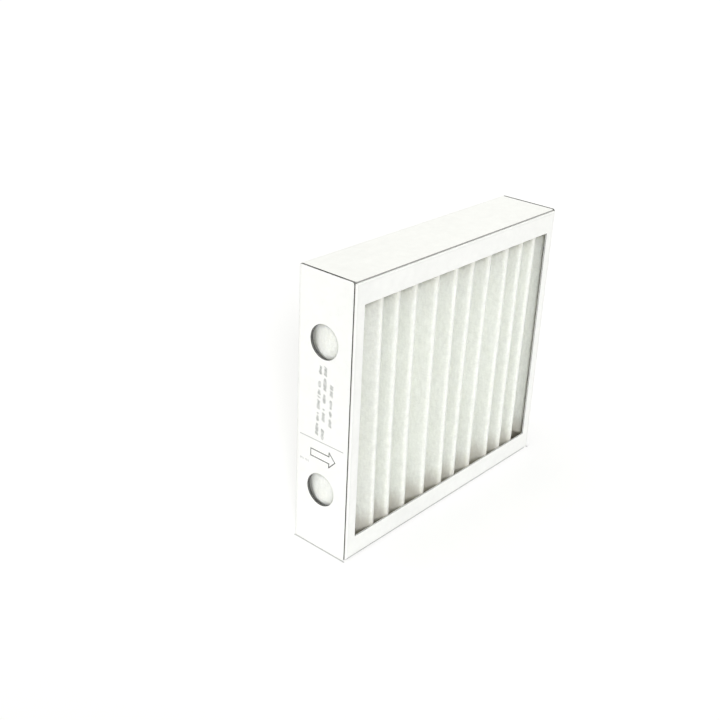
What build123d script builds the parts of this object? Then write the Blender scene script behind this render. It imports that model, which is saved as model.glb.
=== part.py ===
from build123d import *
import math
import os

# Pleated panel air filter, in millimetres.
# Two die-cut paperboard trays slide into each other, rear tray outside and front tray inside, and
# hold a sheet of non-woven media folded to and fro between their windows. The ends of the folds
# are bedded in hot-melt glue on the floor and the roof, and the two ends of the sheet are glued
# to the side walls.
# +X runs across the panel, +Y from the front face to the rear face, +Z up. The origin is in the
# middle of the footprint, on the surface that the filter stands on.

# Frame
frame_width = 230.0          # rear tray, over the side walls
frame_height = 210.0         # rear tray, over the top and bottom walls
frame_depth = 48.0           # rear tray, from its face to the free edges of its walls
board = 1.0                  # thickness of the paperboard
crease_radius = 0.2          # inside radius of a fold in the board
tray_clearance = 0.15        # glue line between the walls of the two trays
face_stand = 1.2             # front face ahead of the free wall edges of the rear tray
flap_gap = 0.8               # slit between the end of a top or bottom wall and the side wall
flap_corner = 1.8            # radius of the free corners of the walls

# Windows, the same in both faces
side_border = 9.7            # board left beside a window
end_border = 17.0            # board left above and below a window
window_corner = 0.5

# Finger holes for pulling the filter out, in the left walls of both trays
finger_hole_diameter = 25.0
finger_hole_inset = 48.5     # hole centre from the top and from the bottom

# Folded media
media_thickness = 2.0
fold_radius = 0.6            # inside radius of a fold in the media
fold_clearance = 0.3         # folds to the board behind the windows
pleat_pitch = 19.5
end_pleats = 1.5             # pitches left at the two sides for the end legs
end_leg_lean = 6.5           # first and last rear folds inside the ends of the sheet
pack_shift = 2.0             # the front folds sit off centre, towards the right
fold_drift = (0.0, -2.6, -3.8, -0.2, 1.8, 0.2, 0.7, 4.1, 2.6, 0.0)   # uneven by hand, front folds
end_setback = 3.5            # free ends of the sheet behind the row of front folds
tab_length = 4.5             # flat end of the sheet, along a side wall
tab_bend_radius = 3.0        # inside radius of the bend behind it
trimmed_foot = 9.5           # last leg cut short above the folds' ends

# Hot-melt glue
bed_thickness = 1.5          # on the floor and on the roof
bed_grip = 0.9               # depth that the folds' ends sink into a bed
bed_margin = 1.0             # bed to the board around it
bed_corner = 3.0
bead_thickness = 0.8         # between the end of the sheet and a side wall
bead_margin = 0.5            # bead inside the edges of the end tab

# Planes and places worked out from the sizes above
rear_face_y = (frame_depth + face_stand) / 2
front_face_y = -rear_face_y
front_tray_inset = board + tray_clearance
front_tray_width = frame_width - 2 * front_tray_inset
front_tray_height = frame_height - 2 * front_tray_inset
front_tray_depth = frame_depth + face_stand - board - crease_radius
cavity_front_y = front_face_y + board
cavity_rear_y = rear_face_y - board
cavity_side_x = front_tray_width / 2 - board
cavity_floor_z = front_tray_inset + board
cavity_roof_z = frame_height - cavity_floor_z
media_floor_z = cavity_floor_z + bed_thickness - bed_grip
media_roof_z = cavity_roof_z - bed_thickness + bed_grip
trimmed_floor_z = media_floor_z + trimmed_foot
middle_radius = fold_radius + media_thickness / 2
tab_x = cavity_side_x - bead_thickness - media_thickness / 2
folds_front_y = cavity_front_y + fold_clearance
folds_rear_y = cavity_rear_y - fold_clearance
sheet_end_y = folds_front_y + end_setback

BASE = (Align.CENTER, Align.MIN, Align.MIN)


def folded_tray(width, height, depth):
    """Tray folded from one sheet of board: face at y=0, walls towards +Y, foot at z=0."""
    shell = Box(width, depth, height, align=BASE)
    shell = fillet(shell.faces().sort_by(Axis.Y)[0].edges(), crease_radius + board)
    hollow = Box(width - 2 * board, depth, height - 2 * board, align=BASE)
    hollow = fillet(hollow.faces().sort_by(Axis.Y)[0].edges(), crease_radius)
    tray = shell - Pos(0, board, board) * hollow
    tray -= window_cutter(width, height)
    tray -= flap_slits(width, height, depth)
    return round_flap_corners(tray, depth)


def window_cutter(width, height):
    """Prism through the face of a tray, as large as the tray's window."""
    tray_inset = (frame_width - width) / 2
    window_width = width - 2 * (side_border - tray_inset)
    window_height = height - 2 * (end_border - tray_inset)
    outline = RectangleRounded(window_width, window_height, window_corner)
    plane = Plane(origin=(0, -board, height / 2), x_dir=(1, 0, 0), z_dir=(0, 1, 0))
    return extrude(plane * outline, 3 * board)


def flap_slits(width, height, depth):
    """Slits that part the top and bottom walls from the side walls, from fold to free edge."""
    fold = crease_radius + board
    slit = Box(flap_gap, depth - fold, board, align=BASE)
    slit_x = width / 2 - board - flap_gap / 2
    return [
        Pos(side * slit_x, fold, floor) * slit
        for side in (-1, 1)
        for floor in (0, height - board)
    ]


def round_flap_corners(tray, depth):
    """Round the corners at the free ends of the four walls."""
    corners = [
        edge for edge in tray.edges()
        if abs(edge.center().Y - depth) < board / 10
        and abs(edge.length - board) < board / 10
    ]
    return fillet(corners, flap_corner)


def finger_bores():
    """Cutters for the finger holes, through the left walls of both trays."""
    reach = 4 * (board + tray_clearance)
    hole = Rot(0, 90, 0) * Cylinder(finger_hole_diameter / 2, reach)
    hole_y = rear_face_y - frame_depth / 2
    return [
        Pos(-frame_width / 2, hole_y, z) * hole
        for z in (finger_hole_inset, frame_height - finger_hole_inset)
    ]


def rear_tray():
    tray = folded_tray(frame_width, frame_height, frame_depth)
    tray = Pos(0, rear_face_y, 0) * Rot(0, 0, 180) * tray
    return tray - finger_bores()


def front_tray():
    tray = folded_tray(front_tray_width, front_tray_height, front_tray_depth)
    tray = Pos(0, front_face_y, front_tray_inset) * tray
    return tray - finger_bores()


def front_fold_places():
    """X of each front fold: an even row, each fold a little off its place."""
    count = int(2 * cavity_side_x / pleat_pitch - end_pleats + 0.5)
    middle = (count - 1) / 2
    return [
        pack_shift + (number - middle) * pleat_pitch + fold_drift[number % len(fold_drift)]
        for number in range(count)
    ]


def media_folds():
    """Bends of the sheet from left to right, as (centre, radius) of its middle layer.

    A radius is positive where the sheet turns anticlockwise, seen from above, and negative where
    it turns clockwise. The free ends of the sheet have radius 0.
    """
    outer_radius = fold_radius + media_thickness
    front_y = folds_front_y + outer_radius
    rear_y = folds_rear_y - outer_radius
    bend = tab_bend_radius + media_thickness / 2
    bend_y = sheet_end_y + tab_length
    left_end = [(Vector(-tab_x, sheet_end_y), 0.0), (Vector(bend - tab_x, bend_y), -bend)]
    right_end = [(Vector(tab_x - bend, bend_y), -bend), (Vector(tab_x, sheet_end_y), 0.0)]
    fronts = front_fold_places()
    rears = [end_leg_lean - tab_x]
    rears += [(left + right) / 2 for left, right in zip(fronts, fronts[1:])]
    rears += [tab_x - end_leg_lean]
    row = [(Vector(rears[0], rear_y), -middle_radius)]
    for front, rear in zip(fronts, rears[1:]):
        row.append((Vector(front, front_y), middle_radius))
        row.append((Vector(rear, rear_y), -middle_radius))
    return left_end + row + right_end


def sheet_side(folds, offset):
    """Edges of one side of a folded sheet: straight legs, tangent to the arcs between them."""
    bends = [(centre, radius - offset) for centre, radius in folds]
    normals = []
    for (start, start_radius), (end, end_radius) in zip(bends, bends[1:]):
        run = end - start
        lean = math.acos((end_radius - start_radius) / run.length)
        angle = math.atan2(run.Y, run.X) + lean
        normals.append(Vector(math.cos(angle), math.sin(angle)))
    edges = []
    for index, normal in enumerate(normals):
        (start, start_radius), (end, end_radius) = bends[index], bends[index + 1]
        leg_end = end - normal * end_radius
        edges.append(Edge.make_line(start - normal * start_radius, leg_end))
        if index + 1 < len(normals):
            middle = end - (normal + normals[index + 1]).normalized() * end_radius
            next_start = end - normals[index + 1] * end_radius
            edges.append(Edge.make_three_point_arc(leg_end, middle, next_start))
    return edges


def media_section():
    """Cross-section of the folded sheet, on the XY plane."""
    folds = media_folds()
    left = sheet_side(folds, media_thickness / 2)
    right = sheet_side(folds, -media_thickness / 2)
    near_end = Edge.make_line(left[0] @ 0, right[0] @ 0)
    far_end = Edge.make_line(left[-1] @ 1, right[-1] @ 1)
    return Face(Wire(left + right + [near_end, far_end]))


def pleated_media():
    """The whole sheet, its last leg cut short at the foot."""
    height = media_roof_z - media_floor_z
    sheet = extrude(Pos(0, 0, media_floor_z) * media_section(), height, dir=(0, 0, 1))
    last_rear_fold = media_folds()[-3][0]
    notch = Box(
        cavity_side_x - last_rear_fold.X,
        last_rear_fold.Y - cavity_front_y,
        trimmed_foot,
        align=(Align.MIN, Align.MIN, Align.MIN),
    )
    return sheet - Pos(last_rear_fold.X, cavity_front_y, media_floor_z) * notch


def glue_bed(floor_z, sheet):
    """Bed of glue on the floor or under the roof, moulded round the folds' ends."""
    bed = Box(
        2 * (cavity_side_x - bed_margin),
        cavity_rear_y - cavity_front_y - 2 * bed_margin,
        bed_thickness,
        align=(Align.CENTER, Align.CENTER, Align.MIN),
    )
    bed = fillet(bed.edges().filter_by(Axis.Z), bed_corner)
    bed_y = (cavity_front_y + cavity_rear_y) / 2
    return Pos(0, bed_y, floor_z) * bed - sheet


def side_bead(side, foot_z):
    """Bead of glue that holds the end of the sheet to a side wall."""
    bead = Box(
        bead_thickness,
        tab_length - 2 * bead_margin,
        cavity_roof_z - bed_thickness - foot_z - bead_margin,
        align=(Align.CENTER, Align.MIN, Align.MIN),
    )
    bead_x = cavity_side_x - bead_thickness / 2
    return Pos(side * bead_x, sheet_end_y + bead_margin, foot_z) * bead


def build_parts():
    sheet = pleated_media()
    bead_floor_z = cavity_floor_z + bed_thickness + bead_margin
    return {
        "rear_tray": rear_tray(),
        "front_tray": front_tray(),
        "pleated_media": sheet,
        "bottom_glue_bed": glue_bed(cavity_floor_z, sheet),
        "top_glue_bed": glue_bed(cavity_roof_z - bed_thickness, sheet),
        "left_glue_bead": side_bead(-1, bead_floor_z),
        "right_glue_bead": side_bead(1, trimmed_floor_z + bead_margin),
    }


os.makedirs("parts", exist_ok=True)
for node, solid in build_parts().items():
    export_step(solid, f"parts/{node}.step")
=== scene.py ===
import math

import bpy
from bpy.props import FloatProperty, FloatVectorProperty, IntProperty, PointerProperty
from mathutils import Matrix, Quaternion, Vector


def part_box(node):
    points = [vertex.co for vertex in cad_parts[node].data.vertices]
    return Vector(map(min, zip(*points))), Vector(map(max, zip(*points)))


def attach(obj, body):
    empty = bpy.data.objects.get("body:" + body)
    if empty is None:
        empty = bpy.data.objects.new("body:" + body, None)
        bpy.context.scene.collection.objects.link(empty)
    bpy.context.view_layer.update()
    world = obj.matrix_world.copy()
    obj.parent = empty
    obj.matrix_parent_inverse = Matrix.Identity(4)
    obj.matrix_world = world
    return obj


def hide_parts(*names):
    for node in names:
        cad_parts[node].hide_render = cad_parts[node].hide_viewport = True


bl_info = {
    "name": "Pleated panel air filter",
    "version": (1, 0, 0),
    "blender": (4, 5, 0),
    "location": "3D View > Sidebar > Filter",
    "description": "Finishes the board, the folded media, the glue and the print of a panel filter",
    "category": "Add Mesh",
}

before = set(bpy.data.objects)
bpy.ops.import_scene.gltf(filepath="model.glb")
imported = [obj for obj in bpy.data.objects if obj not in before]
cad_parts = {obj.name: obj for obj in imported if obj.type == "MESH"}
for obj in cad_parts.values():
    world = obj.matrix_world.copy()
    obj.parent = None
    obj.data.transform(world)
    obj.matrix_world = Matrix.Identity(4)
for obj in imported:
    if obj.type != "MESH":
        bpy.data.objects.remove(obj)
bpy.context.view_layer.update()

# Lengths are in metres, most of them written as so many millimetres. A name that ends in _MM
# holds plain millimetres.
MM = 0.001
BODY = "root"

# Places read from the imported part
REAR_LOW, REAR_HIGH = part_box("rear_tray")
FRONT_LOW, FRONT_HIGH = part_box("front_tray")
SHEET_LOW, SHEET_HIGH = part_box("pleated_media")
WALL_X = REAR_LOW.x                      # outside of the left wall

# Paperboard
BOARD = 1.0 * MM
CREASE = 1.2 * MM                        # outside radius of a folded crease
SLIT = 0.9 * MM                          # beside a top or bottom wall, with a little to spare
CREASE_WEAR = (0.6 * MM, 3.2 * MM)       # off a crease: where its wear starts to fade and ends
WORN_DEPTH = 1.6 * MM                    # depth under the skin at which the wear has gone
CORE_SHADE_FADE = (7.0 * MM, 26.0 * MM)      # depth, from the middle, over which the painted shade on the top and bottom cut edges lifts
SCUFFED_LINING = (0.62, 0.62, 0.60)
FLECK = (0.30, 0.30, 0.29)               # waste fibre in the core
CORE_OUT_OF_SHADE = (0.55, 0.55, 0.53)          # cut edges towards the front and rear, lighter where the painted shade lifts
PALE_CUT = (0.80, 0.81, 0.79)            # inner half of a window's cut edge

# Row of folds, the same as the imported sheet's
PLEAT_PITCH = 19.5 * MM
PACK_SHIFT = 2.0 * MM
FOLD_DRIFT_MM = (0.0, -2.6, -3.8, -0.2, 1.8, 0.2, 0.7, 4.1, 2.6, 0.0)
FOLD_LEAN_MM = (-1.8, -1.2, -1.2, 0.2, 0.1, 3.3, 4.0, 2.3, 2.8, 3.0)
FOLD_SWAY_MM = (-0.3, -0.9, -0.7, -0.6, -1.1, -0.9, -1.1, -0.3, -0.8, -0.9)
SHEET_THICKNESS = 2.0 * MM
MIDDLE_RADIUS = 1.6 * MM                 # of the middle layer in a fold
END_LEG_LEAN = 6.5 * MM                  # first and last rear folds inside the sheet's ends
TAB_LENGTH = 4.5 * MM
TAB_BEND = 4.0 * MM                      # of the middle layer, behind an end tab
END_SETBACK = 3.5 * MM
TRIMMED_FOOT = 9.5 * MM
LEG_STEPS = 7                            # faces along a leg
ARC_STEPS = 8                            # faces round a bend
HELD = 0.16                              # share of the height, at each end, that glue keeps flat
NICK = 2.6 * MM                          # depth of the nick in the free end of the sheet
NICK_Z = 181.0 * MM                      # its lower end

# Bulges of the first leg into the finger holes
BULGE = 4.0 * MM
BULGE_REACH = 14.8 * MM
BULGE_TOP = 0.62                         # share of the reach that stays full
BULGE_Y = 2.4 * MM
BULGE_MIDDLE_Z = 105.0 * MM              # halfway between the two
BULGE_SPREAD = 56.5 * MM                 # each bulge's middle, above or below that

# Painted shade and dust on the fibre: shade behind the front folds and under the window's border,
# and shade with dust at foot and head. Each pair of lengths is where it starts to fade and where it
# has gone
FLANK_SHADE = (3.0 * MM, 22.0 * MM)       # painted shade on the sides of the legs, behind the front folds
BORDER_SHADOW = (14.0 * MM, 21.0 * MM)     # painted shadow under the upper border of the window
BORDER_SHADOW_SLOPE = 0.38                      # fall of that shadow's edge with the depth behind the front folds
# Darker, browner foot and head of the sheet: dust and glue, and painted shade.
FOOT_SHADE_AND_DUST = (11.0 * MM, 31.0 * MM)
HEAD_SHADE_AND_DUST = (10.0 * MM, 32.0 * MM)
LEG_FACING = (0.35, 0.85)                # how far sideways a fold and a leg face

# Print on the left wall, as (y, z) places
ARROW_TAIL_Y = 10.5 * MM
ARROW_TIP_Y = -12.3 * MM
ARROW_Z = 75.4 * MM
ARROW_LINE = 0.68 * MM
ARROW_HEAD_LENGTH = 5.6 * MM
ARROW_HEAD = 5.9 * MM                    # half its width
ARROW_SHAFT = 2.75 * MM                  # half its width
DIVIDER = ((20.7 * MM, 86.1 * MM), (-19.3 * MM, 86.5 * MM))
DIVIDER_LINE = 0.55 * MM
DASH_PLACES_MM = (20.6, 19.3, 18.0, 15.6, 14.3, 13.0)
DASH_TOP = 67.7 * MM
DASH_FALL = (-0.7 * MM, -1.2 * MM)
DASH_LINE = 0.4 * MM
# Rows of marks: first place, lean off the upright, lengths of the words and the gap between them
MARK_ROWS_MM = (
    ((5.5, 91.2), 0.047, (8.0, 6.5, 5.5, 5.0, 3.5, 8.5), 3.0),
    ((0.2, 89.3), 0.031, (8.0, 14.0, 5.5, 9.0, 5.5), 3.1),
    ((-6.5, 101.4), 0.022, (5.0, 3.2, 5.2, 8.6), 2.9),
)
MARK_PITCH = 1.05 * MM
MARK_HEIGHT = 3.0 * MM
MARK_STROKE = 0.42 * MM
MARK_SLANT = math.radians(20.0)
MARKS_LEFT_OUT = 0.16                    # share of them
MARKS_LOW = 0.6                          # share of them, counted with those left out
LOW_MARK = 0.65                          # height of a low one, as a share of a tall one's
BARE_SPECK = (0.70, 0.71, 0.70)          # board that shows through the ink

# Studio
FLOOR_REACH = 6.0
FLOOR_WHITE = 0.5                        # share of plain white in the floor that the camera sees
CONTACT_SHADOW = 0.6                            # darkness of the contact shadow painted on the floor against the side walls
CONTACT_SHADOW_NEAR = 1.7 * MM
CONTACT_SHADOW_FAR = 7.0 * MM
KEY_PLACE = (-0.625, -0.636, 0.452)
KEY_COLOUR = (1.0, 1.0, 1.0)
OVERHEAD_PLACE = (-0.20, 0.15, 0.97)
OVERHEAD_COLOUR = (1.0, 1.0, 0.92)

# Camera
CAMERA_PLACE = (-575.5 * MM, -426.81 * MM, 448.35 * MM)
CAMERA_AZIMUTH = 49.3007                 # degrees off the front face's normal, to its left
CAMERA_ELEVATION = 25.4208
CAMERA_ROLL = 2.5206
CAMERA_LENS = 52.9535
CAMERA_SENSOR = 36.0


# ---------------------------------------------------------------- sizes and colours to change

class BoardSettings(bpy.types.PropertyGroup):
    """Colours of the paperboard trays."""
    lining: FloatVectorProperty(
        name="Lining", description="White lining on the outside of the board",
        subtype="COLOR", default=(0.935, 0.94, 0.925))
    # Near-black: painted shade at the cut edges of the side walls and on the walls of the slits.
    core: FloatVectorProperty(
        name="Core", description="Shaded core at the cut edges of the side walls and in the slits",
        subtype="COLOR", default=(0.020, 0.021, 0.020))
    end_core: FloatVectorProperty(
        name="Core across", description="Grey core at the other cut edges",
        subtype="COLOR", default=(0.26, 0.265, 0.26))
    back: FloatVectorProperty(
        name="Back", description="Unlined inner side of the board",
        subtype="COLOR", default=(0.42, 0.40, 0.36))


class MediaSettings(bpy.types.PropertyGroup):
    """Shape and colour of the folded sheet."""
    fibre: FloatVectorProperty(
        name="Fibre", description="Non-woven fibre",
        subtype="COLOR", default=(0.890, 0.920, 0.843))
    # Colour towards which head and foot darken: dust and glue, and painted shade as well.
    dust_and_shade: FloatVectorProperty(
        name="Dust", description="Dust and glue that the fibre has drawn up at head and foot",
        subtype="COLOR", default=(0.58, 0.55, 0.49))
    rows: IntProperty(
        name="Rows", description="Rows of faces up the height of the sheet",
        default=92, min=4)
    belly: FloatProperty(
        name="Belly", description="Slack of a leg between its folds",
        subtype="DISTANCE", unit="LENGTH", default=0.9 * MM)
    loft: FloatProperty(
        name="Loft", description="Unevenness of the surface of the fibre",
        subtype="DISTANCE", unit="LENGTH", default=0.16 * MM)
    seed: IntProperty(name="Seed", description="Picks the slack and the unevenness", default=7)


class GlueSettings(bpy.types.PropertyGroup):
    """Colour of the hot-melt glue."""
    wax: FloatVectorProperty(
        name="Wax", description="Set hot-melt glue",
        subtype="COLOR", default=(0.72, 0.66, 0.50))


class PrintSettings(bpy.types.PropertyGroup):
    """Printing on the left wall."""
    ink: FloatVectorProperty(
        name="Ink", description="Dark ink of the arrow",
        subtype="COLOR", default=(0.035, 0.036, 0.038))
    pale_ink: FloatVectorProperty(
        name="Pale ink", description="Thinner ink of the rows of marks",
        subtype="COLOR", default=(0.055, 0.055, 0.06))
    faint_ink: FloatVectorProperty(
        name="Faint ink", description="Faintest ink, of the dividing line",
        subtype="COLOR", default=(0.40, 0.40, 0.41))
    ink_height: FloatProperty(
        name="Ink height", description="How far the ink stands off the board",
        subtype="DISTANCE", unit="LENGTH", default=0.03 * MM)
    seed: IntProperty(name="Seed", description="Picks the lengths of the marks", default=3)


class StageSettings(bpy.types.PropertyGroup):
    """Floor, lamps and world."""
    floor: FloatVectorProperty(
        name="Floor", description="Pale floor",
        subtype="COLOR", default=(0.93, 0.93, 0.93))
    world_strength: FloatProperty(
        name="World", description="Strength of the even light from all round", default=0.31)
    key_strength: FloatProperty(
        name="Key", description="Broad light on the left wall and the front", default=2.12)
    overhead_strength: FloatProperty(
        name="Overhead", description="Broad light from above", default=1.36)
    key_spread: FloatProperty(
        name="Key spread", description="How broad the key light is",
        subtype="ANGLE", unit="ROTATION", default=math.radians(15.0))
    overhead_spread: FloatProperty(
        name="Overhead spread", description="How broad the light from above is",
        subtype="ANGLE", unit="ROTATION", default=math.radians(50.0))


# ---------------------------------------------------------------- node trees as expressions

class Value:
    """An output socket that takes part in sums: each sum adds its Math node to the tree."""

    def __init__(self, graph, socket):
        self.graph = graph
        self.socket = socket

    def math(self, operation, *values):
        return self.graph.node("ShaderNodeMath", {"operation": operation}, dict(enumerate(values)))

    def __add__(self, other):
        return self.math("ADD", self, other)

    def __radd__(self, other):
        return self.math("ADD", other, self)

    def __sub__(self, other):
        return self.math("SUBTRACT", self, other)

    def __rsub__(self, other):
        return self.math("SUBTRACT", other, self)

    def __mul__(self, other):
        return self.math("MULTIPLY", self, other)

    def __rmul__(self, other):
        return self.math("MULTIPLY", other, self)

    def __lt__(self, other):
        return self.math("LESS_THAN", self, other)

    def __gt__(self, other):
        return self.math("GREATER_THAN", self, other)

    def __abs__(self):
        return self.math("ABSOLUTE", self)

    def root(self):
        return self.math("SQRT", self)

    def rounded(self):
        return self.math("ROUND", self)

    def least(self, other):
        return self.math("MINIMUM", self, other)

    def most(self, other):
        return self.math("MAXIMUM", self, other)

    def ramp(self, low, high):
        """0 below low, 1 above high, and a smooth climb between them."""
        return self.graph.node(
            "ShaderNodeMapRange", {"interpolation_type": "SMOOTHSTEP"},
            {"Value": self, "From Min": low, "From Max": high})


class Graph:
    """A node tree with one method that adds any node."""

    def __init__(self, tree):
        self.tree = tree

    def add(self, kind, settings, values):
        """Add a node: its settings come first, then the values or links of its sockets."""
        node = self.tree.nodes.new(kind)
        for name, setting in settings.items():
            setattr(node, name, setting)
        for key, value in values.items():
            if isinstance(value, Value):
                self.tree.links.new(value.socket, node.inputs[key])
            else:
                node.inputs[key].default_value = value
        return node

    def node(self, kind, settings=(), values=(), output=0):
        node = self.add(kind, dict(settings), dict(values))
        return Value(self, node.outputs[output])

    def outputs(self, kind, settings=(), values=()):
        node = self.add(kind, dict(settings), dict(values))
        return [Value(self, socket) for socket in node.outputs]

    def split(self, vector):
        return self.outputs("ShaderNodeSeparateXYZ", {}, {0: vector})

    def join(self, x, y, z):
        return self.node("ShaderNodeCombineXYZ", {}, {0: x, 1: y, 2: z})

    def object_place(self):
        return self.node("ShaderNodeTexCoord", {}, {}, "Object")

    def mix(self, mask, first, second):
        """first where mask is 0, and second where it is 1."""
        colour = {"data_type": "RGBA", "blend_type": "MIX"}
        return self.node("ShaderNodeMix", colour, {0: mask, 6: rgba(first), 7: rgba(second)}, 2)

    def tint(self, colour, amount):
        """colour made lighter or darker: amount is what it is multiplied by."""
        grey = self.node("ShaderNodeCombineColor", {}, {0: amount, 1: amount, 2: amount})
        multiply = {"data_type": "RGBA", "blend_type": "MULTIPLY"}
        return self.node("ShaderNodeMix", multiply, {0: 1.0, 6: rgba(colour), 7: grey}, 2)

    def noise(self, where, scale, detail, roughness, stretch=(1.0, 1.0, 1.0)):
        """Noise from 0 to 1, about 0.5, that has scale bumps in a metre."""
        mapped = self.node("ShaderNodeMapping", {}, {"Vector": where, "Scale": stretch})
        return self.node("ShaderNodeTexNoise", {}, {
            "Vector": mapped, "Scale": scale, "Detail": detail, "Roughness": roughness})


def rgba(colour):
    """A colour as a colour socket takes it: a link stays, and three numbers get their alpha."""
    if isinstance(colour, Value):
        return colour
    return (*colour, 1.0)


def new_material(name):
    """A material with an empty node tree, and the graph that fills it."""
    material = bpy.data.materials.new(name)
    material.use_nodes = True
    material.node_tree.nodes.clear()
    return material, Graph(material.node_tree)


def show(graph, shader):
    graph.add("ShaderNodeOutputMaterial", {}, {"Surface": shader})


def shade(graph, colour, roughness, height, depth, **fixed):
    """Bumpy Principled surface. fixed holds what is the same all over it, by socket name."""
    bump = {"Height": height, "Distance": depth, "Strength": 1.0}
    normal = graph.node("ShaderNodeBump", {}, bump)
    values = {"Base Color": colour, "Roughness": roughness, "Normal": normal}
    values.update({name.replace("_", " "): value for name, value in fixed.items()})
    show(graph, graph.node("ShaderNodeBsdfPrincipled", {}, values))


# ---------------------------------------------------------------- paperboard

def outer_skin(depth, normal):
    """1 on the lined outside of a wall: near its surface, and facing as the wall does."""
    return (depth < 0.45 * BOARD) * (abs(normal) > 0.5)


def board_material(name, settings, low, high, face_y, inward):
    """White lining outside, grey core at the cut edges, near-black painted shade at the side walls'
    cut edges and in the slits, and the unlined back inside.

    side, end and face are the depths of a point inside the tray, from its side walls, from its
    top and bottom walls, and from its face.
    """
    material, graph = new_material(name)
    place = graph.object_place()
    x, y, z = graph.split(place)
    nx, ny, nz = graph.split(graph.node("ShaderNodeNewGeometry", {}, {}, "Normal"))
    side = (high.x - low.x) / 2 - abs(x)
    end = (high.z - low.z) / 2 - abs(z - (high.z + low.z) / 2)
    face = (y - face_y) * inward
    in_board = BOARD * 1.02
    past_crease = face > CREASE
    side_cut = (side < in_board) * past_crease * (abs(nx) < 0.5)
    end_cut = (end < in_board) * past_crease * (side > in_board) * (abs(nz) < 0.5)
    face_cut = (face < in_board) * (side > CREASE) * (end > CREASE) * (abs(ny) < 0.5)
    # Painted shade on the walls of the slits beside the top and bottom walls.
    slit_shade = (side < BOARD + SLIT) * (side > 0.5 * BOARD) * (end < in_board) * past_crease
    slit_shade = slit_shade * (abs(nx) > 0.5)
    cut = side_cut.most(end_cut).most(face_cut).most(slit_shade)
    lined = outer_skin(side, nx).most(outer_skin(end, nz)).most(outer_skin(face, ny))

    fibres = graph.noise(place, 900.0, 5.0, 0.6)
    clouds = graph.noise(place, 26.0, 3.0, 0.5)
    flecks = graph.noise(place, 2300.0, 2.0, 0.5)
    blotches = graph.noise(place, 170.0, 4.0, 0.6)
    light = 0.985 + (fibres - 0.5) * 0.05 + (clouds - 0.5) * 0.08 + (blotches - 0.5) * 0.10
    lining = graph.tint(settings.lining, light)
    near_skin = 1.0 - side.least(end).least(face).ramp(0.0, WORN_DEPTH)
    off_crease = (side + face).ramp(*CREASE_WEAR).least((end + face).ramp(*CREASE_WEAR))
    lining = graph.mix((1.0 - off_crease) * near_skin * 0.22, lining, SCUFFED_LINING)
    # The side walls' cut edges and the slit walls take the near-black core, which is painted shade.
    core = graph.mix(side_cut.most(slit_shade), settings.end_core, settings.core)
    core = graph.mix(flecks * 0.14, core, FLECK)
    # Painted shade: the cut edges along the top and bottom are darkest midway and lighter towards
    # the front and rear.
    shade_lifted = (end < in_board) * abs(y).ramp(*CORE_SHADE_FADE)
    core = graph.mix(shade_lifted * 0.25, core, CORE_OUT_OF_SHADE)
    core = graph.mix(face_cut * (face > 0.5 * BOARD), core, PALE_CUT)
    back = graph.tint(settings.back, 0.86 + flecks * 0.16 + clouds * 0.14)
    colour = graph.mix(cut, graph.mix(lined, back, lining), core)
    roughness = 0.52 + (1.0 - lined) * 0.3 + (fibres - 0.5) * 0.08
    shade(graph, colour, roughness, fibres * 0.6 + clouds * 2.0, 0.05 * MM,
          Specular_IOR_Level=0.35)
    return material


# ---------------------------------------------------------------- folded media

def fold_places():
    """X of each front fold, halfway up."""
    middle = (len(FOLD_DRIFT_MM) - 1) / 2
    return [
        PACK_SHIFT + (number - middle) * PLEAT_PITCH + drift * MM
        for number, drift in enumerate(FOLD_DRIFT_MM)
    ]


def sheet_bends():
    """Bends from left to right: centre, radius of the middle layer, lean and sway of a fold.

    A radius is positive where the sheet turns anticlockwise, seen from above.
    """
    reach = MIDDLE_RADIUS + SHEET_THICKNESS / 2
    front_y = SHEET_LOW.y + reach
    rear_y = SHEET_HIGH.y - reach
    tab_x = SHEET_HIGH.x - SHEET_THICKNESS / 2
    end_y = SHEET_LOW.y + END_SETBACK
    bend_y = end_y + TAB_LENGTH
    fronts = fold_places()
    rears = [END_LEG_LEAN - tab_x]
    rears += [(left + right) / 2 for left, right in zip(fronts, fronts[1:])]
    rears += [tab_x - END_LEG_LEAN]
    row = [(Vector((rears[0], rear_y)), -MIDDLE_RADIUS, 0.0, 0.0)]
    for front, rear, lean, sway in zip(fronts, rears[1:], FOLD_LEAN_MM, FOLD_SWAY_MM):
        row.append((Vector((front, front_y)), MIDDLE_RADIUS, lean * MM, sway * MM))
        row.append((Vector((rear, rear_y)), -MIDDLE_RADIUS, 0.0, 0.0))
    left_end = [
        (Vector((-tab_x, end_y)), 0.0, 0.0, 0.0),
        (Vector((TAB_BEND - tab_x, bend_y)), -TAB_BEND, 0.0, 0.0),
    ]
    right_end = [
        (Vector((tab_x - TAB_BEND, bend_y)), -TAB_BEND, 0.0, 0.0),
        (Vector((tab_x, end_y)), 0.0, 0.0, 0.0),
    ]
    return left_end + row + right_end


def leg_normal(start, start_radius, end, end_radius):
    """Unit normal, to the right, of the straight leg tangent to two bends."""
    run = end - start
    lean = math.acos((end_radius - start_radius) / run.length)
    angle = math.atan2(run.y, run.x) + lean
    return Vector((math.cos(angle), math.sin(angle)))


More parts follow.
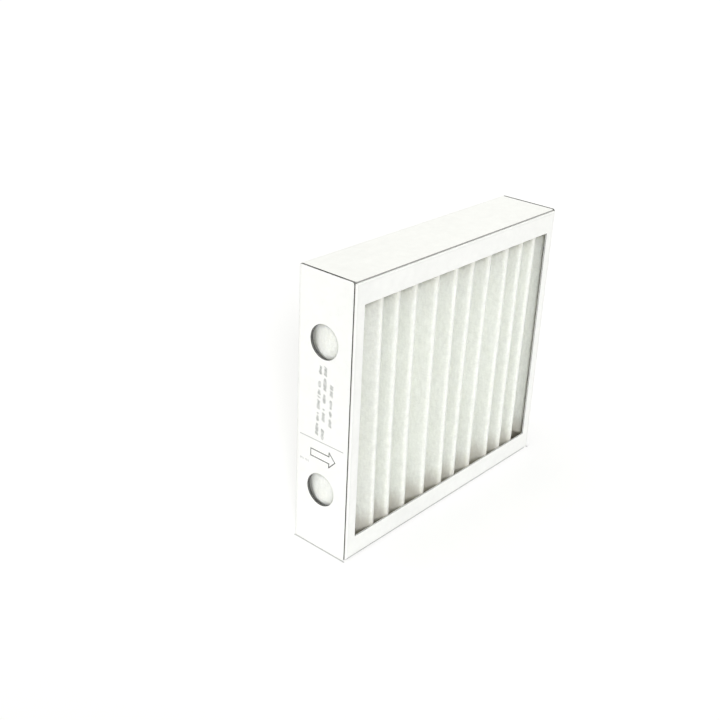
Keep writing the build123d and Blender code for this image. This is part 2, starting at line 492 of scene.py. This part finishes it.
def section_points():
    """Points of the middle layer, seen from above.

    Each is (place, belly, lean, sway, tail, outer): belly is 1 halfway along a leg, lean and sway
    pass from one fold's to the next one's, tail is 1 past the last rear fold, and outer is 1
    halfway along the leg beside the finger holes.
    """
    bends = sheet_bends()
    normals = [leg_normal(a[0], a[1], b[0], b[1]) for a, b in zip(bends, bends[1:])]
    last_rear = len(bends) - 3
    points = []
    for index, normal in enumerate(normals):
        start, start_radius, start_lean, start_sway = bends[index]
        end, end_radius, end_lean, end_sway = bends[index + 1]
        leg_start = start - normal * start_radius
        leg_end = end - normal * end_radius
        tail = 1.0 if index >= last_rear else 0.0
        slack = 1.0 if (leg_end - leg_start).length > PLEAT_PITCH else 0.0
        for step in range(LEG_STEPS + 1):
            share = step / LEG_STEPS
            points.append((
                leg_start.lerp(leg_end, share),
                slack * math.sin(math.pi * share),
                start_lean + (end_lean - start_lean) * share,
                start_sway + (end_sway - start_sway) * share,
                tail if index > last_rear or step > 0 else 0.0,
                math.sin(math.pi * share) if index == 1 else 0.0,
            ))
        if index + 1 < len(normals):
            turn = normal.angle_signed(normals[index + 1])
            for step in range(1, ARC_STEPS):
                turned = normal.copy()
                turned.rotate(Matrix.Rotation(-turn * step / ARC_STEPS, 2))
                points.append((end - turned * end_radius, 0.0, end_lean, end_sway, tail, 0.0))
    return points


def section_mesh():
    """The section as a line of edges whose points carry what the tree needs to know of them."""
    points = section_points()
    mesh = bpy.data.meshes.new("sheet section")
    places = [(place.x, place.y, 0.0) for place, *_ in points]
    mesh.from_pydata(places, [(i, i + 1) for i in range(len(points) - 1)], [])
    run = [0.0]
    for before, after in zip(points, points[1:]):
        run.append(run[-1] + (after[0] - before[0]).length)
    end_line = run[-1] - TAB_LENGTH
    _, belly, lean, sway, tail, outer = zip(*points)
    end_tab = [1.0 if along > end_line + 0.1 * MM else 0.0 for along in run]
    columns = {
        "run": run, "belly": belly, "lean": lean, "sway": sway, "tail": tail, "outer": outer,
        "end_tab": end_tab,
    }
    for name, numbers in columns.items():
        mesh.attributes.new(name, "FLOAT", "POINT").data.foreach_set("value", numbers)
    return mesh


def new_tree(name, inputs):
    """A geometry tree with named inputs; returns its graph and its inputs by name."""
    tree = bpy.data.node_groups.new(name, "GeometryNodeTree")
    tree.interface.new_socket("Geometry", in_out="OUTPUT", socket_type="NodeSocketGeometry")
    tree.interface.new_socket("Geometry", in_out="INPUT", socket_type="NodeSocketGeometry")
    for label, kind in inputs.items():
        tree.interface.new_socket(label, in_out="INPUT", socket_type="NodeSocket" + kind)
    graph = Graph(tree)
    node = graph.add("NodeGroupInput", {}, {})
    return graph, {socket.name: Value(graph, socket) for socket in node.outputs if socket.name}


def finish_tree(graph, geometry, material):
    real = graph.node("GeometryNodeRealizeInstances", {}, {0: geometry})
    painted = graph.node("GeometryNodeSetMaterial", {}, {"Geometry": real, "Material": material})
    graph.add("NodeGroupOutput", {}, {0: painted})
    return graph.tree


def run_tree(name, base_mesh, tree, values, thickness=0.0):
    """Run a geometry tree on a mesh, and return an object with the plain mesh that it makes.

    A thickness grows a sheet from its middle layer to both sides, with a second material round
    its edges.
    """
    piece = bpy.data.objects.new(name, base_mesh)
    bpy.context.scene.collection.objects.link(piece)
    modifier = piece.modifiers.new(tree.name, "NODES")
    modifier.node_group = tree
    for item in tree.interface.items_tree:
        if item.in_out == "INPUT" and item.name in values:
            modifier[item.identifier] = values[item.name]
    if thickness:
        thicken = piece.modifiers.new("thickness", "SOLIDIFY")
        thicken.thickness = thickness
        thicken.offset = 0.0
        thicken.use_even_offset = True
        thicken.material_offset_rim = 1
    graph = bpy.context.evaluated_depsgraph_get()
    mesh = bpy.data.meshes.new_from_object(
        piece.evaluated_get(graph), preserve_all_data_layers=True, depsgraph=graph)
    piece.modifiers.clear()
    piece.data = mesh
    mesh.name = name
    return piece


def sheet_tree():
    """Stands a section up into a sheet, with leaning folds, slack legs and uneven fibre."""
    graph, given = new_tree("pleated sheet", {
        "Rows": "Int", "Foot": "Float", "Head": "Float", "Trimmed Foot": "Float",
        "Belly": "Float", "Loft": "Float", "Nick": "Float", "Nick Height": "Float",
        "Bulge": "Float", "Bulge Reach": "Float", "Bulge Y": "Float", "Bulge Middle": "Float",
        "Bulge Spread": "Float", "Seed": "Int", "Material": "Material"})
    section = given["Geometry"]
    count = graph.node("GeometryNodeAttributeDomainSize", {"component": "MESH"}, {0: section})
    grid = graph.node("GeometryNodeMeshGrid", {}, {
        "Size X": 1.0, "Size Y": 1.0, "Vertices X": count, "Vertices Y": given["Rows"]})
    place = graph.node("GeometryNodeInputPosition")
    u, v, _ = graph.split(place)
    column = ((u + 0.5) * (count - 1.0)).rounded()
    up = v + 0.5

    def along(name):
        field = graph.node(
            "GeometryNodeInputNamedAttribute", {"data_type": "FLOAT"}, {"Name": name})
        return graph.node("GeometryNodeSampleIndex", {"data_type": "FLOAT", "domain": "POINT"}, {
            "Geometry": section, "Value": field, "Index": column})

    spot = graph.node(
        "GeometryNodeSampleIndex", {"data_type": "FLOAT_VECTOR", "domain": "POINT"},
        {"Geometry": section, "Value": place, "Index": column})
    x, y, _ = graph.split(spot)
    run = along("run")
    foot = given["Foot"] + along("tail") * (given["Trimmed Foot"] - given["Foot"])
    z = foot + up * (given["Head"] - foot)
    from_middle = up - 0.5
    bowed = 1.0 - from_middle * from_middle * 4.0
    where = graph.join(run, z, 0.0)
    slack = seeded_noise(graph, where, 17.0, 1.0, given["Seed"])
    fluff = seeded_noise(graph, where, 210.0, 2.0, given["Seed"])
    free = up.ramp(0.0, HELD).least((1.0 - up).ramp(0.0, HELD))
    shift = along("lean") * from_middle
    shift = shift + along("sway") * (bowed - 0.5)
    shift = shift + along("belly") * given["Belly"] * free * (slack - 0.5) * 4.0
    shift = shift + given["Loft"] * (fluff - 0.5) * 2.0
    off_y = y - given["Bulge Y"]
    off_z = abs(z - given["Bulge Middle"]) - given["Bulge Spread"]
    off_bulge = (off_y * off_y + off_z * off_z).root()
    dome = 1.0 - off_bulge.ramp(given["Bulge Reach"] * BULGE_TOP, given["Bulge Reach"])
    shift = shift - along("outer") * dome * given["Bulge"]
    nick = along("end_tab") * (z > given["Nick Height"]) * given["Nick"]
    moved = graph.join(x + shift, y - nick, z)
    cloth = graph.node(
        "GeometryNodeStoreNamedAttribute", {"data_type": "FLOAT2", "domain": "CORNER"},
        {"Geometry": grid, "Name": "UVMap", "Value": where})
    cloth = graph.node("GeometryNodeSetPosition", {}, {"Geometry": cloth, "Position": moved})
    cloth = graph.node("GeometryNodeSetShadeSmooth", {}, {0: cloth})
    return finish_tree(graph, cloth, given["Material"])


def seeded_noise(graph, where, scale, detail, seed):
    return graph.node("ShaderNodeTexNoise", {"noise_dimensions": "4D"}, {
        "Vector": where, "W": seed, "Scale": scale, "Detail": detail})


def media_material(settings, name, brightness):
    """Non-woven fibre: short matted threads, thick and thin patches, painted shade behind the front
    folds and under the window's border, and a darker, browner head and foot of dust and painted
    shade.
    """
    material, graph = new_material(name)
    _, y, z = graph.split(graph.object_place())
    across, _, _ = graph.split(graph.node("ShaderNodeTexCoord", {}, {}, "Normal"))
    sheet = graph.node("ShaderNodeUVMap", {"uv_map": "UVMap"})
    threads = graph.noise(sheet, 700.0, 4.0, 0.65, (1.0, 0.35, 1.0))
    crossed = graph.noise(sheet, 760.0, 4.0, 0.65, (0.35, 1.0, 1.0))
    patches = graph.noise(sheet, 240.0, 4.0, 0.62, (1.5, 0.6, 1.0))
    clouds = graph.noise(sheet, 14.0, 2.0, 0.5)
    matted = threads.least(crossed)
    light = 1.012 + (matted - 0.45) * 0.3 + (patches - 0.5) * 0.29 + (clouds - 0.5) * 0.08
    behind = y - SHEET_LOW.y
    above_foot = z - SHEET_LOW.z
    below_head = SHEET_HIGH.z - z
    leg = abs(across).ramp(*LEG_FACING)
    # Painted shade on the sideways faces of the legs close behind the front folds, which narrows
    # their bright tips.
    flank_shade = leg * (1.0 - behind.ramp(*FLANK_SHADE))
    # Painted shadow of the window's upper border on the legs, its edge falling with the depth.
    below_border = below_head - behind * BORDER_SHADOW_SLOPE + (patches - 0.5) * 7 * MM
    painted_border_shadow = leg * (1.0 - below_border.ramp(*BORDER_SHADOW))
    light = light - flank_shade * 0.075 - painted_border_shadow * 0.13
    colour = graph.tint(tuple(c * brightness for c in settings.fibre), light)
    # Head and foot turn darker and browner: dust and glue, and painted shade.
    foot_shade_and_dust = 1.0 - (above_foot + (patches - 0.5) * 9 * MM).ramp(*FOOT_SHADE_AND_DUST)
    head_shade_and_dust = 1.0 - (below_head + (patches - 0.5) * 6 * MM).ramp(*HEAD_SHADE_AND_DUST)
    shade_and_dust = foot_shade_and_dust * 0.72 + head_shade_and_dust * 0.44
    colour = graph.mix(shade_and_dust, colour, settings.dust_and_shade)
    height = matted * 1.2 + patches * 1.4
    shade(graph, colour, 0.86 + (threads - 0.5) * 0.1, height, 0.22 * MM,
          Specular_IOR_Level=0.18, Sheen_Weight=0.12, Sheen_Roughness=0.6,
          Subsurface_Weight=0.7, Subsurface_Radius=(6 * MM, 6 * MM, 5.4 * MM),
          Subsurface_Scale=1.0)
    return material


# ---------------------------------------------------------------- glue

def glue_material(settings):
    """Hot-melt glue: waxy, a little cloudy, with the ripples in which it set."""
    material, graph = new_material("hot-melt glue")
    place = graph.object_place()
    ripples = graph.noise(place, 120.0, 2.0, 0.4)
    clouds = graph.noise(place, 45.0, 3.0, 0.5)
    colour = graph.mix(clouds, settings.wax, tuple(c * 0.78 for c in settings.wax))
    shade(graph, colour, 0.28 + ripples * 0.16, ripples, 0.5 * MM, Subsurface_Weight=0.15,
          Subsurface_Radius=(2 * MM, 1.4 * MM, 0.8 * MM), Specular_IOR_Level=0.5)
    return material


# ---------------------------------------------------------------- print

def ink_material(name, colour, cover):
    """Flexographic ink: thin at its grain, so that the board shows through in specks."""
    material, graph = new_material(name)
    place = graph.object_place()
    grain = graph.noise(place, 1900.0, 3.0, 0.6)
    patches = graph.noise(place, 160.0, 2.0, 0.5)
    thin = (grain * 0.7 + patches * 0.3).ramp(0.44, 0.72) * cover
    ink = graph.mix(thin, colour, BARE_SPECK)
    shade(graph, ink, 0.48 + grain * 0.12, grain, 0.01 * MM, Specular_IOR_Level=0.3)
    return material


def wall_mesh(name, outlines, settings, material):
    """Thin raised shapes on the left wall. Each outline is a convex list of (y, z) places."""
    vertices = []
    faces = []
    outer = WALL_X - settings.ink_height
    for outline in outlines:
        first = len(vertices)
        count = len(outline)
        if signed_area(outline) > 0:
            outline = outline[::-1]
        vertices += [(outer, y, z) for y, z in outline]
        vertices += [(WALL_X, y, z) for y, z in outline]
        faces.append([first + i for i in range(count)])
        faces.append([first + count + i for i in reversed(range(count))])
        for i in range(count):
            j = (i + 1) % count
            faces.append([first + j, first + i, first + count + i, first + count + j])
    mesh = bpy.data.meshes.new(name)
    mesh.from_pydata(vertices, [], faces)
    mesh.materials.append(material)
    piece = bpy.data.objects.new(name, mesh)
    bpy.context.scene.collection.objects.link(piece)
    return piece


def signed_area(outline):
    pairs = zip(outline, outline[1:] + outline[:1])
    return sum(y0 * z1 - y1 * z0 for (y0, z0), (y1, z1) in pairs) / 2


def stroke(start, end, width):
    """Outline of a straight stroke with square ends that overlap at its corners."""
    start, end = Vector(start), Vector(end)
    along = (end - start).normalized() * width / 2
    across = Vector((-along.y, along.x))
    corners = (start - along + across, start - along - across, end + along - across,
               end + along + across)
    return [(corner.x, corner.y) for corner in corners]


def arrow_strokes():
    """Outline of a block arrow that shows the direction of the air, from rear to front."""
    neck_y = ARROW_TIP_Y + ARROW_HEAD_LENGTH
    upper = [
        (ARROW_TAIL_Y, ARROW_Z + ARROW_SHAFT),
        (neck_y, ARROW_Z + ARROW_SHAFT),
        (neck_y, ARROW_Z + ARROW_HEAD),
    ]
    lower = [
        (neck_y, ARROW_Z - ARROW_HEAD),
        (neck_y, ARROW_Z - ARROW_SHAFT),
        (ARROW_TAIL_Y, ARROW_Z - ARROW_SHAFT),
    ]
    corners = upper + [(ARROW_TIP_Y, ARROW_Z)] + lower
    return [stroke(a, b, ARROW_LINE) for a, b in zip(corners, corners[1:] + corners[:1])]


def dash_strokes():
    """A short row of small slanted dashes."""
    fall_y, fall_z = DASH_FALL
    return [
        stroke((y * MM, DASH_TOP), (y * MM + fall_y, DASH_TOP + fall_z), DASH_LINE)
        for y in DASH_PLACES_MM
    ]


def marks_tree():
    """Puts short slanted bars along lines, in random widths and two heights, and omits a few."""
    graph, given = new_tree("rows of marks", {
        "Pitch": "Float", "Height": "Float", "Stroke": "Float", "Ink Height": "Float",
        "Slant": "Float", "Seed": "Int", "Material": "Material"})
    curve = graph.node("GeometryNodeMeshToCurve", {}, {0: given["Geometry"]})
    points = graph.node(
        "GeometryNodeCurveToPoints", {"mode": "LENGTH"}, {"Curve": curve, "Length": given["Pitch"]})
    index = graph.node("GeometryNodeInputIndex")
    chance = graph.node("FunctionNodeRandomValue", {"data_type": "FLOAT"}, {
        2: 0.0, 3: 1.0, "ID": index, "Seed": given["Seed"]}, 1)
    again = graph.node("FunctionNodeRandomValue", {"data_type": "FLOAT"}, {
        2: 0.0, 3: 1.0, "ID": index, "Seed": given["Seed"] + 11.0}, 1)
    block = graph.node("GeometryNodeMeshCube", {}, {"Size": (1.0, 1.0, 1.0)})
    width = given["Stroke"] * (0.7 + chance * 0.6)
    height = given["Height"] * ((again > MARKS_LOW) * (1.0 - LOW_MARK) + LOW_MARK)
    size = graph.join(given["Ink Height"], height, width)
    slant = graph.join(given["Slant"], 0.0, 0.0)
    placed = graph.node("GeometryNodeInstanceOnPoints", {}, {
        "Points": points, "Selection": again > MARKS_LEFT_OUT, "Instance": block,
        "Rotation": slant, "Scale": size})
    return finish_tree(graph, placed, given["Material"])


def rows_mesh(name):
    """The rows of marks as plain edges on the left wall, one for each word."""
    vertices = []
    edges = []
    for (start_y, start_z), lean, words, gap in MARK_ROWS_MM:
        y = start_y * MM
        z = start_z * MM
        for word in words:
            length = word * MM
            first = len(vertices)
            vertices += [(WALL_X, y, z), (WALL_X, y - lean * length, z + length)]
            edges.append((first, first + 1))
            y -= lean * (length + gap * MM)
            z += length + gap * MM
    mesh = bpy.data.meshes.new(name)
    mesh.from_pydata(vertices, edges, [])
    return mesh


# ---------------------------------------------------------------- stage

def seen(graph):
    """1 for a ray that forms the picture, also by mirror or glass, and 0 for one that lights."""
    camera, glossy, transmission = (
        graph.node("ShaderNodeLightPath", {}, {}, f"Is {kind} Ray")
        for kind in ("Camera", "Glossy", "Transmission"))
    return camera.most(glossy).most(transmission)


def floor_material(settings):
    """Pale floor that the camera sees half as plain white, so that a soft shadow stays, with a
    contact shadow painted along the side walls.
    """
    material, graph = new_material("studio floor")
    place = graph.object_place()
    weave = graph.noise(place, 3.0, 3.0, 0.5)
    x, y, _ = graph.split(place)
    away = abs(x) - REAR_HIGH.x
    # Painted contact shadow on the floor along the side walls.
    contact_shadow = 1.0 - away.ramp(0.0, CONTACT_SHADOW_NEAR) * 0.85 - away.ramp(0.0, CONTACT_SHADOW_FAR) * 0.15
    contact_shadow = contact_shadow * (away > 0.0) * (abs(y) < REAR_HIGH.y)
    colour = graph.tint(settings.floor, 0.99 + (weave - 0.5) * 0.02 - contact_shadow * CONTACT_SHADOW)
    matt = graph.node("ShaderNodeBsdfDiffuse", {}, {"Color": colour, "Roughness": 0.4})
    glow = graph.tint((1.0, 1.0, 1.0), 1.0 - contact_shadow * CONTACT_SHADOW)
    white = graph.node("ShaderNodeEmission", {}, {"Color": glow, "Strength": 1.0})
    share = seen(graph) * FLOOR_WHITE
    show(graph, graph.node("ShaderNodeMixShader", {}, {0: share, 1: matt, 2: white}))
    return material


def make_world(settings):
    """Even light from all round, which shows as plain white."""
    world = bpy.data.worlds.new("studio")
    world.use_nodes = True
    world.node_tree.nodes.clear()
    graph = Graph(world.node_tree)
    strength = settings.world_strength + seen(graph) * (1.0 - settings.world_strength)
    light = graph.node(
        "ShaderNodeBackground", {}, {"Color": rgba((1.0, 1.0, 1.0)), "Strength": strength})
    graph.add("ShaderNodeOutputWorld", {}, {"Surface": light})
    bpy.context.scene.world = world


def add_lamp(name, place, strength, spread, colour):
    """Broad even light that comes from the direction of place."""
    lamp = bpy.data.lights.new(name, "SUN")
    lamp.energy = strength
    lamp.angle = spread
    lamp.color = colour
    holder = bpy.data.objects.new(name, lamp)
    holder.location = place
    holder.rotation_euler = Vector(place).to_track_quat("Z", "Y").to_euler()
    bpy.context.scene.collection.objects.link(holder)


def add_camera():
    camera = bpy.data.cameras.new("camera")
    camera.lens = CAMERA_LENS
    camera.sensor_width = CAMERA_SENSOR
    camera.clip_end = 50.0
    azimuth = math.radians(90.0 - CAMERA_AZIMUTH)
    elevation = math.radians(CAMERA_ELEVATION)
    level = math.cos(elevation)
    aim = Vector((level * math.cos(azimuth), level * math.sin(azimuth), -math.sin(elevation)))
    roll = Quaternion((0.0, 0.0, 1.0), math.radians(CAMERA_ROLL))
    holder = bpy.data.objects.new("camera", camera)
    holder.location = CAMERA_PLACE
    holder.rotation_mode = "QUATERNION"
    holder.rotation_quaternion = aim.to_track_quat("-Z", "Y") @ roll
    bpy.context.scene.collection.objects.link(holder)
    bpy.context.scene.camera = holder


# ---------------------------------------------------------------- operators

def dress(node, material):
    """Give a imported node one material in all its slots."""
    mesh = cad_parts[node].data
    if not mesh.materials:
        mesh.materials.append(material)
    for index in range(len(mesh.materials)):
        mesh.materials[index] = material


class FILTER_OT_board(bpy.types.Operator):
    """Finish the two paperboard trays"""
    bl_idname = "filter.board"
    bl_label = "Paperboard trays"

    def execute(self, context):
        settings = context.scene.filter_board
        rear = board_material(
            "paperboard, rear tray", settings, REAR_LOW, REAR_HIGH, REAR_HIGH.y, -1.0)
        front = board_material(
            "paperboard, front tray", settings, FRONT_LOW, FRONT_HIGH, FRONT_LOW.y, 1.0)
        dress("rear_tray", rear)
        dress("front_tray", front)
        return {"FINISHED"}


class FILTER_OT_media(bpy.types.Operator):
    """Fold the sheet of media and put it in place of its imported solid"""
    bl_idname = "filter.media"
    bl_label = "Folded media"

    def execute(self, context):
        settings = context.scene.filter_media
        fibre = media_material(settings, "non-woven fibre", 1.0)
        # The sheet's cut edges take a copy of the fibre 3% lighter: a painted highlight.
        lit_cut_edge = media_material(settings, "non-woven fibre, lit cut edge", 1.03)
        piece = run_tree("folded_media", section_mesh(), sheet_tree(), {
            "Rows": settings.rows,
            "Foot": SHEET_LOW.z,
            "Head": SHEET_HIGH.z,
            "Trimmed Foot": SHEET_LOW.z + TRIMMED_FOOT,
            "Belly": settings.belly,
            "Loft": settings.loft,
            "Nick": NICK,
            "Nick Height": NICK_Z,
            "Bulge": BULGE,
            "Bulge Reach": BULGE_REACH,
            "Bulge Y": BULGE_Y,
            "Bulge Middle": BULGE_MIDDLE_Z,
            "Bulge Spread": BULGE_SPREAD,
            "Seed": settings.seed,
            "Material": fibre,
        }, SHEET_THICKNESS)
        piece.data.materials.append(lit_cut_edge)
        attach(piece, BODY)
        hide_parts("pleated_media")
        return {"FINISHED"}


class FILTER_OT_glue(bpy.types.Operator):
    """Finish the beds and beads of hot-melt glue"""
    bl_idname = "filter.glue"
    bl_label = "Hot-melt glue"

    def execute(self, context):
        material = glue_material(context.scene.filter_glue)
        for node in ("bottom_glue_bed", "top_glue_bed", "left_glue_bead", "right_glue_bead"):
            dress(node, material)
        return {"FINISHED"}


class FILTER_OT_print(bpy.types.Operator):
    """Print the arrow, the dividing line and the rows of plain marks on the left wall"""
    bl_idname = "filter.print"
    bl_label = "Print on the left wall"

    def execute(self, context):
        settings = context.scene.filter_print
        ink = ink_material("ink", settings.ink, 0.12)
        pale = ink_material("pale ink", settings.pale_ink, 0.35)
        faint = ink_material("faint ink", settings.faint_ink, 0.35)
        divider_strokes = [stroke(*DIVIDER, DIVIDER_LINE)]
        arrow = wall_mesh("airflow_arrow", arrow_strokes(), settings, ink)
        divider = wall_mesh("dividing_line", divider_strokes, settings, faint)
        dashes = wall_mesh("faint_dashes", dash_strokes(), settings, faint)
        rows = run_tree("printed_rows", rows_mesh("rows"), marks_tree(), {
            "Pitch": MARK_PITCH,
            "Height": MARK_HEIGHT,
            "Stroke": MARK_STROKE,
            "Slant": MARK_SLANT,
            "Ink Height": 2 * settings.ink_height,
            "Seed": settings.seed,
            "Material": pale,
        })
        for piece in (arrow, divider, dashes, rows):
            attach(piece, BODY)
        return {"FINISHED"}


class FILTER_OT_stage(bpy.types.Operator):
    """Set the floor, the world, the lamps and the camera"""
    bl_idname = "filter.stage"
    bl_label = "Studio"

    def execute(self, context):
        settings = context.scene.filter_stage
        signs = ((-1, -1), (1, -1), (1, 1), (-1, 1))
        corners = [(x * FLOOR_REACH, y * FLOOR_REACH, 0.0) for x, y in signs]
        mesh = bpy.data.meshes.new("floor")
        mesh.from_pydata(corners, [], [(0, 1, 2, 3)])
        mesh.materials.append(floor_material(settings))
        floor = bpy.data.objects.new("floor", mesh)
        context.scene.collection.objects.link(floor)
        make_world(settings)
        add_lamp(
            "key", KEY_PLACE, settings.key_strength, settings.key_spread, KEY_COLOUR)
        add_lamp(
            "overhead", OVERHEAD_PLACE, settings.overhead_strength, settings.overhead_spread,
            OVERHEAD_COLOUR)
        add_camera()
        context.scene.view_settings.view_transform = "Standard"
        return {"FINISHED"}


OPERATORS = (FILTER_OT_board, FILTER_OT_media, FILTER_OT_glue, FILTER_OT_print, FILTER_OT_stage)
SETTINGS = {
    "filter_board": BoardSettings,
    "filter_media": MediaSettings,
    "filter_glue": GlueSettings,
    "filter_print": PrintSettings,
    "filter_stage": StageSettings,
}


class FILTER_PT_tools(bpy.types.Panel):
    """Lists the pieces of the filter and their settings"""
    bl_idname = "FILTER_PT_tools"
    bl_label = "Pleated panel air filter"
    bl_space_type = "VIEW_3D"
    bl_region_type = "UI"
    bl_category = "Filter"

    def draw(self, context):
        for operator, group in zip(OPERATORS, SETTINGS):
            box = self.layout.box()
            box.operator(operator.bl_idname)
            settings = getattr(context.scene, group)
            for name in settings.bl_rna.properties.keys():
                if name not in ("rna_type", "name"):
                    box.prop(settings, name)


def register():
    for group, settings in SETTINGS.items():
        bpy.utils.register_class(settings)
        setattr(bpy.types.Scene, group, PointerProperty(type=settings))
    for cls in (*OPERATORS, FILTER_PT_tools):
        bpy.utils.register_class(cls)


def unregister():
    for cls in reversed((*OPERATORS, FILTER_PT_tools)):
        bpy.utils.unregister_class(cls)
    for group, settings in reversed(SETTINGS.items()):
        delattr(bpy.types.Scene, group)
        bpy.utils.unregister_class(settings)


def main():
    register()
    bpy.ops.filter.board()
    bpy.ops.filter.media()
    bpy.ops.filter.glue()
    bpy.ops.filter.print()
    bpy.ops.filter.stage()


if __name__ == "__main__":
    main()
